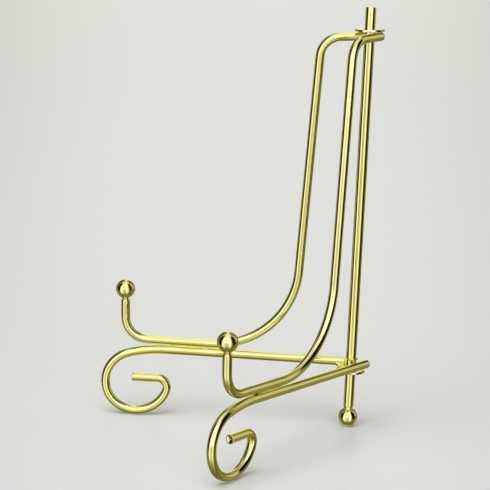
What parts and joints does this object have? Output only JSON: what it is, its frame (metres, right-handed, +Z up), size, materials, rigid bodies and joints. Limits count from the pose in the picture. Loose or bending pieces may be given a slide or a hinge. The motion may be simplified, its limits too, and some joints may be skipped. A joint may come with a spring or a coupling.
{
  "type": "photo album stand",
  "caption": "Folding display easel of bent round wire: mirrored ball-tipped cradle halves with scroll feet, hinged about a rear post with a ball foot.",
  "frame": {"origin": "middle of the footprint's bounding rectangle, on the table plane under the feet", "axes": "+Z up along the rear post; -Y towards the front, where the ball tips stand; +X towards the swinging right half"},
  "size_m": [0.1332, 0.1254, 0.221],
  "materials": {
    "post_gold": "polished gold-tone plating",
    "wire_gold": "polished gold-tone plating",
    "ball_gold": "mirror-polished gold-tone plating",
    "disc_plate": "polished gold-tone plating, stamped edge",
    "braze_fillet": "plated brazing filler, slightly rippled"
  },
  "bodies": {
    "left_half_and_post": {"post_rod": "post_gold", "foot_ball": "ball_gold", "left_cradle_wire": "wire_gold", "left_scroll_wire": "wire_gold", "left_tip_ball": "ball_gold", "left_top_post_weld": "braze_fillet", "left_bottom_post_weld": "braze_fillet", "left_seam_weld_outer": "braze_fillet", "left_seam_weld_inner": "braze_fillet"},
    "right_half": {"right_cradle_wire": "wire_gold", "right_scroll_wire": "wire_gold", "right_tip_ball": "ball_gold", "top_hinge_disc": "disc_plate", "bottom_hinge_disc": "disc_plate", "right_top_disc_weld": "braze_fillet", "right_bottom_disc_weld": "braze_fillet", "right_seam_weld_outer": "braze_fillet", "right_seam_weld_inner": "braze_fillet"}
  },
  "joints": [
    {"name": "right_half_hinge", "type": "hinge", "parent": "left_half_and_post", "child": "right_half", "pos_m": [0, 0.05262, 0.12], "axis": [0, 0, 1], "range_deg": [-54.6, 38]}
  ]
}
